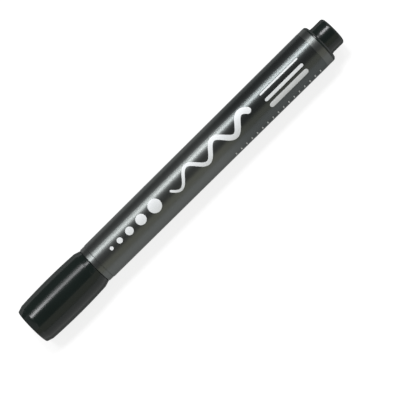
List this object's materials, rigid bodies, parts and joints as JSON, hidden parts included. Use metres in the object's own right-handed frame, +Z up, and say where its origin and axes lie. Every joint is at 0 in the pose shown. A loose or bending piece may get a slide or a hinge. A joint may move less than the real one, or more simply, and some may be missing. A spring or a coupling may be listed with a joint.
{
  "type": "permanent marker",
  "caption": "Capped permanent marker with a slightly tapered barrel, fibre bullet nib, crowned push-on cap and a tail plug that takes the pulled cap.",
  "frame": {"origin": "on the table under the middle of the capped marker, which lies on its side", "axes": "+X along the marker's axis from the cap to the tail plug, +Z up"},
  "size_m": [0.138, 0.0154, 0.0155],
  "materials": {
    "cap_black": "gloss moulded black",
    "liner_natural": "natural milky moulded",
    "section_grey": "satin pearl grey",
    "nib_fibre": "ink-soaked bonded fibre",
    "barrel_grey": "satin pearl grey, darker towards the tail",
    "print_silver": "pale silver ink printed on the barrel",
    "filler_fibre": "ink-soaked fibre bundle",
    "filler_film": "clear film",
    "plug_black": "gloss moulded black"
  },
  "bodies": {
    "marker": {"front_section": "section_grey", "nib": "nib_fibre", "barrel": "barrel_grey", "filler_core": "filler_fibre", "filler_film": "filler_film", "tail_plug": "plug_black"},
    "cap": {"cap_shell": "cap_black", "inner_cap": "liner_natural"}
  },
  "joints": [
    {"name": "cap_pull", "type": "slide", "parent": "marker", "child": "cap", "axis": [-1, 0, 0], "range_m": [0, 0.04]}
  ]
}
